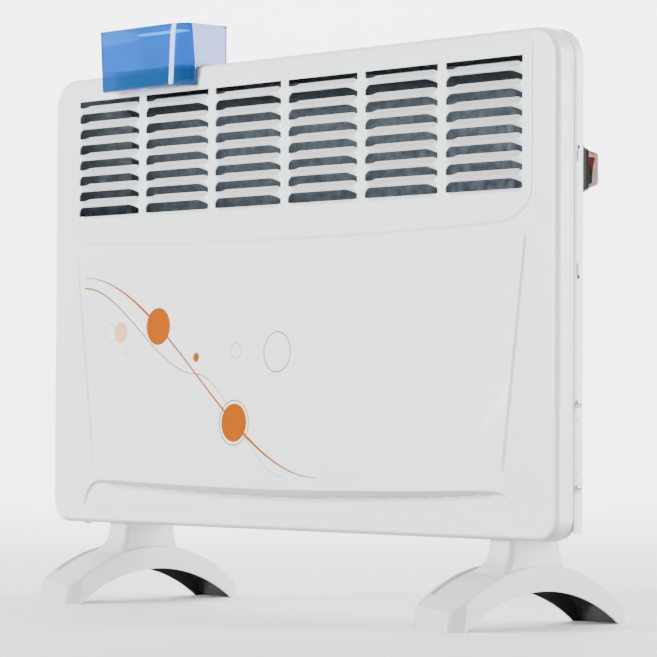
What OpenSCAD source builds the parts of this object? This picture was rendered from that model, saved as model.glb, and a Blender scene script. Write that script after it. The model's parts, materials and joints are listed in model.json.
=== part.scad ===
// Fan convector heater: a slim sheet-steel casing on two arched feet, with a
// louvred front, an aluminium heating element above a crossflow blower, a
// splash-proof rocker switch and a lift-off humidifier water box.
// Origin: on the floor, midway between the feet. +X right, +Y back, +Z up.

/* [Casing] */
// Width of the casing
body_w = 621; // [600:1:660]
// Height of the casing
body_h = 390; // [384:1:420]
// Depth of the casing, front face to rear face
body_d = 61; // [60:0.5:64]
// Height of the casing's lower edge above the floor
foot_clear = 68; // [66:1:74]
// Radius of the two upper corners
top_corner_r = 25; // [20:1:30]
// Radius of the two lower corners
low_corner_r = 19; // [16:1:24]
// Thickness of the sheet steel
sheet = 0.8; // [0.6:0.1:1.0]
// Depth of the front cover, from its face to the seam
cover_d = 18; // [16:0.5:20]

/* [Louvres] */
// Number of louvre columns
louvre_cols = 6; // [4:1:6]
// Number of slots in each column
louvre_rows = 8; // [5:1:8]
// Width of one slot
slot_w = 84; // [70:1:86]
// Height of one slot
slot_h = 5.5; // [4.5:0.5:7]
// Height of the lowest slot above the casing's lower edge
louvre_z = 268.2; // [262:0.2:270]

/* [Feet] */
// Distance between the centres of the two feet
foot_pitch = 470; // [440:2:500]
// Width of one foot
foot_w = 52; // [48:1:56]
// Length of one foot along the floor
foot_l = 190; // [180:2:200]
// Wall thickness of a foot
foot_wall = 2.5; // [2:0.5:3]

/* [Water box] */
// Width of the water box
box_w = 109; // [90:1:120]
// Depth of the water box
box_d = 49.5; // [46:0.5:56]
// Height of the water box above the casing
box_rise = 36; // [30:1:45]
// How far the hanging part of the water box reaches down the front
box_drop = 17; // [12:1:22]
// Wall thickness of the water box
box_wall = 2; // [1.6:0.2:2.4]

/* [Switch] */
// Width of the switch's frame
switch_w = 31; // [30:1:34]
// Height of the switch's frame
switch_h = 36; // [35:1:40]
// How far the rocker turns between its two positions, in degrees
rocker_throw = 14; // [10:1:14]

/* [Blower] */
// Outer radius of the impeller
fan_r = 17; // [14:0.5:17.5]
// Length of the impeller
fan_l = 236; // [200:2:240]
// Number of blades on the impeller
fan_blades = 24; // [16:1:28]

/* [Hidden] */
$fn = 48;

eps = 0.01;
gap = 0.2;
half_w = body_w / 2;
arch_y = 36;              // middle of the feet, behind the casing's front face

// Casing
edge_r = 4;
seam = 0.6;
wall_end_y = 29;          // the side walls turn inwards at 45 degrees behind this
taper = body_d - wall_end_y;
joggle = sheet + gap;     // the cover's inner lip sits this far inside the rear casing
joggle_end_y = 26.5;
base_z = 9;
base_t = 1;
casing_z = base_z + base_t + 0.3;
rear_in_y = body_d - sheet;
vent_z = [24, 318];       // lower edges of the two rows of rear vents
vent_w = 4;
vent_h = 26;
vent_pitch = 10;
hook_x = 190;             // wall hook holes in the rear face
hook_z = 338;
hook_r = 4;

// Louvres
slot_pitch = 13.7;
col_pitch = slot_w + 8.8;
louvre_top = louvre_z + slot_pitch * (louvre_rows - 1) + slot_h;

// Feet
foot_x = foot_pitch / 2;
neck_dx = 9;              // the neck stands off the foot's middle
neck_w = 26;
neck_y0 = 6;
neck_y1 = 60;
arch_top_z = -19.7;
arch_r = 140;
inner_top_z = -39.7;
inner_r = 140;
inner_dy = 2;             // the underside's arc is centred this much further back
toe_slant = 3;
toe_h = 14;
toe_solid = 14;
toe_facet = [8, 13];      // vertical facet at the toe's outer front corner
toe_skew = 7;             // the toe's face is set back this much at its inner end
foot_screw_y = [30, 47];
foot_screw_r = 2;

// Fasteners
side_screw_z = [40, 104];
side_screw_y = 22.3;
screw_r = 1.7;
snap_z = [206, 292.5];
standoff_x = 200;
standoff_z = [130, 300];
cover_screw_x = 271;
cover_screw_y = 9;

// Heating element
element_y = 28;
element_z = 150;
rod_r = 4;
rod_half = 268;
fin_half = 240;
fin_step = 16;
fin_gap = 1.6;
bracket_x = 250;
baffle_y = 54;
baffle_t = 0.6;
baffle_half = 256;

// Blower
fan_y = 30;
fan_z = 45;
shaft_r = 3;
bush_clear = 0.05;
bush_r = 6;
housing_r = fan_r + 5.5;
housing_x0 = -124;
housing_x1 = 126;
shaft_x0 = -129;
stator_x0 = 140;
stator_x1 = 160;
bracket_t = 1.5;
rotor_r = 12;
motor_screw_z = 58;
motor_screw_y = [13, 47];

// Switch, in its own frame: +Y straight out of the 45-degree wall
switch_x = half_w - 19.5;
switch_y = wall_end_y + 19.5;
switch_z = 283.5;
window_w = 17.4;
window_h = 24.4;
body_in = 22;             // how far the switch's body reaches into the casing
pivot_y = 1;
pivot_r = 1.25;
pivot_clear = 0.05;
rocker_w = 15;
boot_out = 12.4;

// Inlet and terminals
gland_x = 255;
gland_z = 38;
gland_bore_r = 3.7;
gland_r = 7.8;
block_x = 214;
block_y = 31;
wire_r = 1.1;

// Water box
box_x1 = -111;
box_x0 = box_x1 - box_w;
box_y0 = -18;
box_clear = 0.3;
box_chamfer = 9;

white = [0.93, 0.94, 0.95];
foot_grey = [0.86, 0.87, 0.88];
galvanised = [0.52, 0.56, 0.60];

// ---------- frames and helpers ----------

// Casing frame: y runs back from the front face, z up from the lower edge
module in_casing() {
    translate([0, -arch_y, foot_clear]) children();
}

// Stands a drawing in x and z up between two depths
module slab(y0, y1) {
    translate([0, y1, 0]) rotate([90, 0, 0]) linear_extrude(y1 - y0) children();
}

// Runs a drawing in y and z along x
module along_x(x0, x1) {
    translate([x0, 0, 0]) rotate([90, 0, 90]) linear_extrude(x1 - x0) children();
}

module rod_x(x0, x1, r) {
    translate([x0, 0, 0]) rotate([0, 90, 0]) cylinder(h = x1 - x0, r = r);
}

module rod_y(y0, y1, r) {
    translate([0, y0, 0]) rotate([-90, 0, 0]) cylinder(h = y1 - y0, r = r);
}

module block(x, y, z) {
    translate([x[0], y[0], z[0]]) cube([x[1] - x[0], y[1] - y[0], z[1] - z[0]]);
}

// Front view of the casing, drawn in by inset
module outline(inset) {
    w = half_w - inset;
    rt = top_corner_r - inset;
    rb = low_corner_r - inset;
    mid = body_h / 2;
    translate([-w, inset + rb]) square([2 * w, body_h - 2 * inset - rb - rt]);
    translate([rb - w, inset]) square([2 * (w - rb), mid]);
    translate([rt - w, mid]) square([2 * (w - rt), mid - inset]);
    for (s = [-1, 1]) {
        translate([s * (w - rb), inset + rb]) circle(rb);
        translate([s * (w - rt), body_h - inset - rt]) circle(rt);
    }
}

// Front view of the rear casing: open below, drawn in at the sides and top
module rear_outline(inset) {
    w = half_w - inset;
    rt = top_corner_r - min(inset, 10);
    top = body_h - inset;
    translate([-w, casing_z]) square([2 * w, top - rt - casing_z]);
    translate([rt - w, body_h / 2]) square([2 * (w - rt), top - body_h / 2]);
    for (s = [-1, 1]) translate([s * (w - rt), top - rt]) circle(rt);
}

module at_switch() {
    translate([switch_x, switch_y, switch_z]) rotate([0, 0, -45]) children();
}

// A pan-head screw along +Y from its head's underside, head behind it
module screw_y(length, r, head_r, head_h) {
    rod_y(-eps, length, r);
    rod_y(-head_h, 0, head_r);
}

// ---------- casing ----------

module louvre_blade(x0, z0) {
    drop = slot_pitch - slot_h;
    along_x(x0 - 0.4, x0 + slot_w + 0.4) translate([0, z0])
        polygon([[-3.6, 0], [-2.7, -0.2], [0.8, drop * 0.55], [3.2, drop - 0.4],
            [2.5, drop], [-0.1, drop * 0.62]]);
}

module front_cover() {
    color(white) in_casing() {
        difference() {
            union() {
                hull() {
                    slab(edge_r, cover_d) outline(0);
                    slab(0, edge_r) outline(edge_r * 0.6);
                }
                slab(cover_d - 1.5, joggle_end_y) outline(joggle);
            }
            hull() {
                slab(edge_r + sheet, cover_d - 1.5) outline(sheet);
                slab(sheet, edge_r) outline(edge_r * 0.6 + sheet);
            }
            slab(cover_d - 1.5 - eps, joggle_end_y + 1) outline(joggle + sheet);
            // the lip stops short of the base, which leaves the underside open
            block([-half_w, half_w], [cover_d, joggle_end_y + 1], [-1, base_z + 4]);
            for (c = [0 : louvre_cols - 1])
                block([col_x(c), col_x(c) + slot_w], [-1, 2], [louvre_z, louvre_top]);
            for (s = [-1, 1], z = side_screw_z)
                translate([s * half_w, side_screw_y, z]) rod_x(-4, 4, screw_r + 0.1);
            for (s = [-1, 1])
                translate([s * cover_screw_x, cover_screw_y, -1]) cylinder(h = 3, r = screw_r + 0.1);
        }
        for (c = [0 : louvre_cols - 1], k = [0 : louvre_rows - 2])
            louvre_blade(col_x(c), louvre_z + slot_h + slot_pitch * k);
    }
}

function col_x(c) = (c - louvre_cols / 2) * col_pitch + (col_pitch - slot_w) / 2;

module rear_casing() {
    color(white) in_casing() difference() {
        union() {
            slab(cover_d + seam, wall_end_y) rear_outline(0);
            hull() {
                slab(wall_end_y - eps, wall_end_y) rear_outline(0);
                slab(body_d - eps, body_d) rear_outline(taper);
            }
            for (s = [-1, 1], z = snap_z)
                translate([s * (half_w + 0.3), side_screw_y, z])
                    block([-0.8, 0.3], [-1.4, 1.4], [-3, 3]);
        }
        slab(cover_d, wall_end_y) rear_outline(sheet);
        hull() {
            slab(wall_end_y - eps, wall_end_y) rear_outline(sheet);
            slab(rear_in_y - eps, rear_in_y) rear_outline(taper);
        }
        block([-half_w, half_w], [0, rear_in_y], [0, casing_z + eps]);
        // upper and lower rows of rear vents
        for (i = [-16 : 16], z = vent_z)
            block([i * vent_pitch - vent_w / 2, i * vent_pitch + vent_w / 2],
                [rear_in_y - 1, body_d + 1], [z, z + vent_h]);
        at_switch() block([-window_w / 2 - 2.3, window_w / 2 + 2.3], [-3, 2],
            [-window_h / 2 - 2.3, window_h / 2 + 2.3]);
        translate([gland_x, 0, gland_z]) rod_y(rear_in_y - 1, body_d + 1, gland_r + 0.1);
        for (s = [-1, 1]) {
            for (z = side_screw_z)
                translate([s * half_w, side_screw_y, z]) rod_x(-3, 3, screw_r + 0.1);
            for (z = standoff_z)
                translate([s * standoff_x, 0, z]) rod_y(rear_in_y - 1, body_d + 1, screw_r + 0.1);
            translate([s * hook_x, 0, hook_z]) rod_y(rear_in_y - 1, body_d + 1, hook_r);
        }
    }
}

module base_grille() {
    front_y = sheet + gap;
    // stays inside the cover's rounded lower corners
    lip_r = low_corner_r - joggle - sheet;
    side_x = half_w - low_corner_r + sqrt(pow(lip_r, 2) - pow(low_corner_r - base_z, 2)) - gap;
    back_y = rear_in_y - gap;
    back_x = half_w - taper - sheet - gap;
    color(white) in_casing() difference() {
        union() {
            translate([0, 0, base_z]) linear_extrude(base_t)
                polygon([[-side_x, front_y], [side_x, front_y], [side_x, wall_end_y - 1],
                    [back_x, back_y], [-back_x, back_y], [-side_x, wall_end_y - 1]]);
            // stiffening flange along the rear
            block([-262, 236], [back_y - base_t, back_y], [base_z, base_z + 8]);
        }
        for (i = [-17 : 17], y = [14, 36])
            block([i * 11 - 2.5, i * 11 + 2.5], [y - 8, y + 8], [base_z - 1, base_z + 3]);
        for (f = [-foot_x, foot_x], y = foot_screw_y)
            translate([f + neck_dx, y, base_z - 1]) cylinder(h = 3, r = foot_screw_r + 0.1);
        for (s = [-1, 1])
            translate([s * cover_screw_x, cover_screw_y, base_z - 1]) cylinder(h = 3, r = screw_r + 0.1);
        translate([-200, 30, base_z - 1]) cylinder(h = 3, r = screw_r + 0.1);
    }
}

// ---------- heating element ----------

// A thin sheet behind the element that bends forwards under the casing's top
module heat_baffle() {
    bend_r = 32;
    bend_z = 336;
    bend_y = baffle_y + baffle_t - bend_r;
    color(galvanised) in_casing() along_x(-baffle_half, baffle_half) {
        translate([baffle_y, 100]) square([baffle_t, bend_z - 100]);
        translate([bend_y, bend_z]) intersection() {
            difference() {
                circle(bend_r);
                circle(bend_r - baffle_t);
            }
            square(bend_r);
        }
        translate([bend_y - 9, bend_z + bend_r - baffle_t]) square([9.1, baffle_t]);
    }
}

module baffle_standoffs() {
    color("silver") in_casing() for (s = [-1, 1], z = standoff_z)
        translate([s * standoff_x, 0, z]) difference() {
            rod_y(baffle_y + baffle_t, rear_in_y, 5);
            rod_y(baffle_y + 1, body_d, screw_r + 0.05);
        }
}

// Four slitted vanes at 45 degrees round a tube that grips the rod
module element_fins() {
    vane_l = 24;
    color([0.80, 0.81, 0.83]) in_casing() translate([0, element_y, element_z])
        difference() {
            union() {
                rod_x(-fin_half - 3, fin_half + 1, rod_r + 2);
                for (x = [-fin_half : fin_step : fin_half - fin_step])
                    along_x(x, x + fin_step - fin_gap) for (a = [45 : 90 : 315])
                        rotate(a) translate([rod_r + 0.5, -0.7]) square([vane_l - rod_r - 0.5, 1.4]);
            }
            rod_x(-fin_half - 4, fin_half + 4, rod_r + 0.02);
        }
}

module element_rod() {
    color("dimgray") in_casing() translate([0, element_y, element_z])
        rod_x(-rod_half, rod_half, rod_r);
}

module element_insulators() {
    color("ivory") in_casing() translate([0, element_y, element_z]) for (s = [-1, 1])
        difference() {
            union() {
                rod_x(s * bracket_x - 4, s * bracket_x + 4, 8.9);
                translate([s * 5, 0, 0]) rod_x(s * bracket_x - 2, s * bracket_x + 2, 11);
            }
            rod_x(s * bracket_x - 9, s * bracket_x + 9, rod_r + 0.05);
        }
}

module element_terminals() {
    color("gold") in_casing() translate([0, element_y, element_z]) for (s = [-1, 1]) {
        translate([s * (rod_half + 4), 0, 0]) rod_x(-4, 4, 1.5);
        translate([s * (rod_half + 9), 0, 0]) block([-1.5, 1.5], [-3.2, 3.2], [-4, 4]);
    }
}

module element_bracket(side) {
    x = side * bracket_x;
    color(galvanised) in_casing() difference() {
        union() {
            block([x - 0.6, x + 0.6], [6, baffle_y], [118, 182]);
            translate([x - side * 5, 0, 0]) block([-5, 5], [baffle_y - 1.2, baffle_y], [118, 182]);
        }
        translate([0, element_y, element_z]) rod_x(x - 3, x + 3, 9);
        translate([0, element_y, 174]) rod_x(x - 3, x + 3, 3);
        translate([0, element_y, 126]) rod_x(x - 3, x + 3, 3);
    }
}

module thermal_cutout() {
    color("dimgray") in_casing() translate([150, 0, 214]) {
        rod_y(baffle_y - 9, baffle_y, 8);
        rod_y(baffle_y - 1.2, baffle_y, 10.5);
        for (s = [-1, 1])
            block([s * 4.5 - 3, s * 4.5 + 3], [baffle_y - 15, baffle_y - 9], [-0.4, 0.4]);
    }
}

module thermal_fuse() {
    color("tan") in_casing() translate([0, baffle_y - 4, 200]) {
        rod_x(200, 216, 2.6);
        rod_x(192, 224, 0.6);
    }
}

// ---------- blower ----------

module blower_housing() {
    r = housing_r;
    color("lightgray") in_casing() difference() {
        union() {
            // scroll with its outlet at the top
            along_x(housing_x0, housing_x1) translate([fan_y, fan_z]) {
                difference() {
                    circle(r + 1.2);
                    circle(r);
                    translate([-r, 0]) square([2 * r, r + 2]);
                    translate([6, -r - 2]) square([r, r * 0.75]);
                }
                translate([-r - 1.2, -0.1]) square([1.2, 34]);
                translate([r, -0.1]) square([1.2, 34]);
            }
            // end plates
            for (x = [housing_x0, housing_x1 - 1.5])
                along_x(x, x + 1.5) translate([fan_y, fan_z]) {
                    circle(r + 1.2);
                    translate([-r - 1.2, 0]) square([2 * r + 2.4, 33.9]);
                }
            // mounting rails
            for (x = [housing_x0, housing_x1 - 14])
                block([x, x + 14], [8, 52], [base_z + base_t, base_z + base_t + 1.2]);
            for (x = [housing_x0, housing_x1 - 1.5])
                block([x, x + 1.5], [fan_y - 14, fan_y + 14], [base_z + base_t, fan_z - 10]);
        }
        translate([0, fan_y, fan_z]) {
            rod_x(housing_x0 - 1, housing_x0 + 3, bush_r + 0.02);
            rod_x(housing_x1 - 3, housing_x1 + 1, shaft_r + 2);
        }
    }
}

module impeller() {
    disc_t = 1.2;
    x0 = -fan_l / 2;
    color([0.25, 0.27, 0.30]) in_casing() translate([0, fan_y, fan_z]) difference() {
        union() {
            for (i = [0 : 3])
                rod_x(x0 + i * (fan_l - disc_t) / 3, x0 + i * (fan_l - disc_t) / 3 + disc_t, fan_r);
            for (i = [0 : fan_blades - 1]) rotate([i * 360 / fan_blades, 0, 0])
                translate([0, fan_r - 3.2, 0]) rotate([30, 0, 0])
                    block([x0, x0 + fan_l], [-2.4, 2.4], [-0.3, 0.3]);
            for (s = [-1, 1])
                rod_x(s * (fan_l / 2 - 4) - 4, s * (fan_l / 2 - 4) + 4, 6);
        }
        rod_x(x0 - 1, x0 + fan_l + 1, shaft_r + 0.02);
    }
}

module impeller_shaft() {
    color("silver") in_casing() translate([0, fan_y, fan_z])
        rod_x(shaft_x0, stator_x1 + 9, shaft_r);
}

module motor_rotor() {
    color("slategray") in_casing() translate([0, fan_y, fan_z]) difference() {
        rod_x(stator_x0 + 0.5, stator_x1 - 1, rotor_r);
        rod_x(stator_x0 - 1, stator_x1 + 1, shaft_r + 0.02);
    }
}

module shaft_bush(x0, length) {
    color("darkgoldenrod") in_casing() translate([0, fan_y, fan_z]) difference() {
        rod_x(x0, x0 + length, bush_r);
        rod_x(x0 - 1, x0 + length + 1, shaft_r + bush_clear);
    }
}

module shaft_bush_left() {
    shaft_bush(housing_x0 - 3, 5.5);
}

module shaft_bush_right() {
    shaft_bush(stator_x1 + gap, 6);
}

module motor_stator() {
    color([0.45, 0.46, 0.48]) in_casing() difference() {
        block([stator_x0, stator_x1], [8, 52], [22, 81]);
        translate([0, fan_y, fan_z]) rod_x(stator_x0 - 1, stator_x1 + 1, rotor_r + 0.6);
        block([stator_x0 - 1, stator_x1 + 1], [17, 43], [62.5, 72]);
        for (y = motor_screw_y)
            translate([0, y, motor_screw_z]) rod_x(stator_x0 - 1, stator_x1 + 1, screw_r + 0.1);
    }
}

module motor_coil() {
    color([0.72, 0.38, 0.16]) in_casing() difference() {
        block([stator_x0 - 8, stator_x1 + 8], [18, 42], [63, 90]);
        block([stator_x0 - gap, stator_x1 + gap], [10, 50], [72 - gap, 81 + gap]);
    }
}

module motor_bracket() {
    x0 = stator_x1 + gap;
    color(galvanised) in_casing() difference() {
        union() {
            block([x0, x0 + bracket_t], [8, 52], [base_z + base_t, 62]);
            block([x0, x0 + 20], [8, 52], [base_z + base_t, base_z + base_t + bracket_t]);
        }
        translate([0, fan_y, fan_z]) rod_x(x0 - 1, x0 + 4, bush_r + 0.02);
        for (y = motor_screw_y)
            translate([0, y, motor_screw_z]) rod_x(x0 - 1, x0 + 4, screw_r + 0.1);
    }
}

module motor_screws() {
    color("silver") in_casing() for (y = motor_screw_y) translate([0, y, motor_screw_z]) {
        rod_x(stator_x0 - 2.4, stator_x0 - eps, 3.2);
        rod_x(stator_x0 - 1, stator_x1 + 6, screw_r);
        rod_x(stator_x1 + gap + bracket_t, stator_x1 + gap + bracket_t + 2.4, 3.2);
    }
}

// ---------- switch ----------

module switch_body() {
    wall = 2;
    w = window_w / 2 + wall;
    h = window_h / 2 + wall;
    color([0.06, 0.06, 0.06]) in_casing() at_switch() difference() {
        block([-w, w], [-body_in, 3], [-h, h]);
        block([-w + wall, w - wall], [-9, 4], [-h + wall, h - wall]);
        translate([0, pivot_y, 0]) rod_x(-w - 1, w + 1, pivot_r + pivot_clear);
    }
}

// Flared frame that clamps the boot's rim against the wall
module switch_bezel() {
    wall = 2.3;
    color([0.07, 0.07, 0.07]) in_casing() at_switch() difference() {
        hull() {
            block([-switch_w / 2, switch_w / 2], [0, 1.4], [-switch_h / 2, switch_h / 2]);
            block([-13.2, 13.2], [1.4, 5.2], [-16, 16]);
        }
        block([-window_w / 2 - wall, window_w / 2 + wall], [-1, 6],
            [-window_h / 2 - wall, window_h / 2 + wall]);
    }
}

// Clear silicone cover over the rocker
module switch_boot() {
    w = window_w / 2 + 2.1;
    h = window_h / 2 + 2.1;
    t = 1.1;
    color([0.35, 0.30, 0.30, 0.5]) in_casing() at_switch() difference() {
        hull() {
            block([-w, w], [3.1, 5], [-h, h]);
            block([-w + 1, w - 1], [5, boot_out], [-h + 1, h - 1]);
        }
        hull() {
            block([-w + t, w - t], [3, 5], [-h + t, h - t]);
            block([-w + t + 1, w - t - 1], [5, boot_out - t], [-h + t + 1, h - t - 1]);
        }
    }
}

module switch_rocker() {
    tip = 9.6;
    color([0.78, 0.08, 0.05]) in_casing() at_switch() translate([0, pivot_y, 0])
        rotate([-rocker_throw / 2, 0, 0]) {
            along_x(-rocker_w / 2, rocker_w / 2)
                polygon([[5.4, tip], [4.2, 4], [3.6, 0], [4.2, -4], [5.4, -tip],
                    [1, -tip], [-5, -5], [-5, 5], [1, tip]]);
            rod_x(-window_w / 2 - 1.6, window_w / 2 + 1.6, pivot_r);
        }
}

module switch_terminals() {
    color("gold") in_casing() at_switch() for (z = [-8, 0, 8])
        block([-3.2, 3.2], [-body_in - 8, -body_in], [z - 0.4, z + 0.4]);
}

// ---------- inlet and wiring ----------

module cord_gland() {
    color([0.12, 0.12, 0.12]) in_casing() translate([gland_x, 0, gland_z]) difference() {
        union() {
            rod_y(body_d, body_d + 3, 11);
            rod_y(rear_in_y - 7, body_d + 1, gland_r);
            rod_y(body_d + 2, body_d + 8, 8.5);
        }
        rod_y(rear_in_y - 8, body_d + 9, gland_bore_r);
    }
}

module gland_nut() {
    color([0.12, 0.12, 0.12]) in_casing() translate([gland_x, 0, gland_z]) difference() {
        translate([0, rear_in_y, 0]) rotate([90, 0, 0]) cylinder(h = 4, r = 11, $fn = 6);
        rod_y(rear_in_y - 5, rear_in_y + 1, gland_r + 0.02);
    }
}

module terminal_block() {
    z0 = base_z + base_t;
    color("ivory") in_casing() difference() {
        for (i = [-1, 0, 1])
            block([block_x + i * 10 - 4.6, block_x + i * 10 + 5.4], [block_y - 9, block_y + 9],
                [z0, z0 + 13]);
        for (i = [-1, 0, 1], y = [-4.5, 4.5])
            translate([block_x + i * 10, block_y + y, z0 + 6]) cylinder(h = 8, r = 2.2);
    }
}

module terminal_screws() {
    color("gold") in_casing() for (i = [-1, 0, 1], y = [-4.5, 4.5])
        translate([block_x + i * 10, block_y + y, base_z + base_t + 7]) cylinder(h = 4, r = 2);
}

// A wire as a chain of straight rods with round joints
module wire(path) {
    for (i = [0 : len(path) - 2]) hull() {
        translate(path[i]) sphere(wire_r, $fn = 8);
        translate(path[i + 1]) sphere(wire_r, $fn = 8);
    }
}

// Supply to the switch, and from the switch to the element
module live_wires() {
    color("saddlebrown") in_casing() {
        wire([[226, 42, 16], [240, 44, 40], [264, 42, 90], [266, 38, 180], [264, 26, 260], [264, 25, 276]]);
        wire([[262, 22, 288], [258, 20, 262], [266, 20, 210], [282, 24, 175], [281, 28, 157]]);
    }
}

// Element's far end through the fuse to the terminal block, and on to the coil
module neutral_wires() {
    color("steelblue") in_casing() {
        wire([[-280, 28, 143], [-278, 40, 110], [-240, 50, 94], [0, 50, 92], [130, 50, 96],
            [176, 50, 90], [190, 46, 60], [214, 42.5, 24], [214, 42, 18]]);
        wire([[170, 26, 76], [186, 26, 60], [204, 42, 24], [204, 42, 18]]);
    }
}

module earth_wire() {
    color("yellowgreen") in_casing()
        wire([[194, 20, 16], [180, 6, 20], [100, 4.5, 18], [-100, 4.5, 18], [-186, 8, 18],
            [-195, 24, 13.4]]);
}

module earth_screw() {
    color("silver") in_casing() translate([-200, 30, base_z - 5]) {
        cylinder(h = 8, r = screw_r);
        translate([0, 0, 5 + base_t]) cylinder(h = 2.2, r = 3.2);
    }
}

// ---------- feet ----------

// Side view of a foot's outside, drawn in by inset; y from the arch's middle
module arch_outline(inset, toe) {
    half_l = foot_l / 2 - toe;
    intersection() {
        translate([0, arch_top_z - arch_r]) circle(arch_r - inset, $fn = 180);
        polygon([[-half_l, -foot_clear], [half_l, -foot_clear], [half_l - toe_slant, toe_h - foot_clear],
            [half_l - toe_slant, 0], [toe_slant - half_l, 0], [toe_slant - half_l, toe_h - foot_clear]]);
    }
}

module foot_plan() {
    w = foot_w / 2;
    l = foot_l / 2;
    polygon([[-w, toe_skew - l], [w - toe_facet[0], -l], [w, toe_facet[1] - l], [w, l], [-w, l]]);
}
module foot(x) {
    color(foot_grey) in_casing() translate([x, arch_y, 0]) difference() {
        union() {
            intersection() {
                along_x(-foot_w / 2, foot_w / 2) difference() {
                    arch_outline(0, 0);
                    translate([inner_dy, inner_top_z - inner_r]) circle(inner_r, $fn = 180);
                }
                translate([0, 0, -foot_clear]) linear_extrude(foot_clear) foot_plan();
            }
            translate([neck_dx, -arch_y, 0]) {
                block([-neck_w / 2, neck_w / 2], [neck_y0, neck_y1], [arch_top_z - 6, 0]);
                block([-neck_w / 2 + 2, neck_w / 2 - 2], [cover_d + 2, neck_y1 - 2], [-1, base_z]);
                // flare where the neck meets the arch
                hull() {
                    block([-neck_w / 2, neck_w / 2], [neck_y0, neck_y1], [-13, -12]);
                    block([-neck_w / 2 - 6, neck_w / 2 + 4], [neck_y0 - 7, neck_y1 + 6],
                        [arch_top_z - 4.5, arch_top_z - 4]);
                }
            }
        }
        // hollow underside; the two toes stay solid
        along_x(-foot_w / 2 + foot_wall, foot_w / 2 - foot_wall) arch_outline(foot_wall, toe_solid);
        translate([neck_dx, -arch_y, 0]) for (y = foot_screw_y) translate([0, y, -40]) {
            cylinder(h = 60, r = foot_screw_r + 0.1);
            cylinder(h = 20, r = 5);
        }
    }
}

module foot_left() {
    foot(-foot_x);
}

module foot_right() {
    foot(foot_x);
}

module foot_screws() {
    color("silver") in_casing() for (f = [-foot_x, foot_x], y = foot_screw_y)
        translate([f + neck_dx, y, -20]) {
            cylinder(h = 20 + base_z + base_t + 4, r = foot_screw_r);
            translate([0, 0, -2.6]) cylinder(h = 2.6, r = 4);
        }
}

// ---------- fasteners ----------

module side_screws() {
    head_h = 1.6;
    color("silver") in_casing() for (s = [-1, 1], z = side_screw_z)
        translate([s * half_w, side_screw_y, z]) {
            rod_x(s > 0 ? -7 : -eps, s > 0 ? eps : 7, screw_r);
            rod_x(s > 0 ? 0 : -head_h, s > 0 ? head_h : 0, 3.1);
        }
}

module rear_screws() {
    color("silver") in_casing() for (s = [-1, 1], z = standoff_z)
        translate([s * standoff_x, body_d, z]) rotate([0, 0, 180])
            screw_y(5, screw_r, 3.4, 1.8);
}

module cover_screws() {
    color("silver") in_casing() for (s = [-1, 1]) translate([s * cover_screw_x, cover_screw_y, 0]) {
        translate([0, 0, -eps]) cylinder(h = 13, r = screw_r);
        translate([0, 0, -2]) cylinder(h = 2, r = 3.4);
    }
}

// ---------- water box ----------

// Plan of the water box, drawn in by inset, back to the depth y1
module box_plan(inset, y1) {
    k = inset * 0.6;
    polygon([[box_x0 + inset, box_y0 + 3], [box_x0 + inset + 3, box_y0 + inset],
        [box_x1 - box_chamfer - k, box_y0 + inset], [box_x1 - inset, box_y0 + box_chamfer + k],
        [box_x1 - inset, y1], [box_x0 + inset, y1]]);
}

module water_box() {
    top = body_h + box_rise;
    seat = body_h + box_clear;
    hook = body_h - box_drop;
    back = box_y0 + box_d;
    color([0.10, 0.35, 0.80, 0.6]) in_casing() difference() {
        union() {
            translate([0, 0, seat]) linear_extrude(top - seat) box_plan(0, back);
            translate([0, 0, hook]) linear_extrude(top - hook) box_plan(0, -box_clear);
        }
        translate([0, 0, seat + box_wall]) linear_extrude(top) box_plan(box_wall, back - box_wall);
        translate([0, 0, hook + box_wall]) linear_extrude(top) box_plan(box_wall, -box_clear - box_wall);
    }
}

front_cover();
rear_casing();
base_grille();
heat_baffle();
baffle_standoffs();
element_fins();
element_rod();
element_insulators();
element_terminals();
element_bracket(-1);  // element_bracket_left
element_bracket(1);  // element_bracket_right
thermal_cutout();
thermal_fuse();
blower_housing();
impeller();
impeller_shaft();
motor_rotor();
shaft_bush_left();
shaft_bush_right();
motor_stator();
motor_coil();
motor_bracket();
motor_screws();
switch_body();
switch_bezel();
switch_boot();
switch_rocker();
switch_terminals();
cord_gland();
gland_nut();
terminal_block();
terminal_screws();
live_wires();
neutral_wires();
earth_wire();
earth_screw();
foot_left();
foot_right();
foot_screws();
side_screws();
rear_screws();
cover_screws();
water_box();
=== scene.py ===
import json
import math

import bmesh
import bpy
import numpy as np
from mathutils import Matrix, Vector

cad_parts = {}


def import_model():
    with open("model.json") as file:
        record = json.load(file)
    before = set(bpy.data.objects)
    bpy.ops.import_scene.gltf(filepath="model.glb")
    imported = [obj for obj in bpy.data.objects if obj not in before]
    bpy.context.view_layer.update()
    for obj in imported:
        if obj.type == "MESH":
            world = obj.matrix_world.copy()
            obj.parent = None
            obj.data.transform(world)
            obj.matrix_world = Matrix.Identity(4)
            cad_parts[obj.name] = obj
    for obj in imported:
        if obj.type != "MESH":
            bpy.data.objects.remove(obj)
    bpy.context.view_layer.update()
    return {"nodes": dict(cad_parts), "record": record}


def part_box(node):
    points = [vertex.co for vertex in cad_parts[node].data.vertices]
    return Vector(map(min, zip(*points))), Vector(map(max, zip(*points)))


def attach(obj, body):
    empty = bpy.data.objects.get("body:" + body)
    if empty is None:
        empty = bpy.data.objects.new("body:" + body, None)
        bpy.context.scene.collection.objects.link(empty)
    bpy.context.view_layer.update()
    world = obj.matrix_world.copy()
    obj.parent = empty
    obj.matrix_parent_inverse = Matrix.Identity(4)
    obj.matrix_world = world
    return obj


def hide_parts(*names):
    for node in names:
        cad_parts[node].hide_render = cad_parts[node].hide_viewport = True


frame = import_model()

# ---- The casing's own millimetres: x right, y back from the flat front face,
# z up from the lower edge. Everything below is laid out in them.
MM = 0.001
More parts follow.
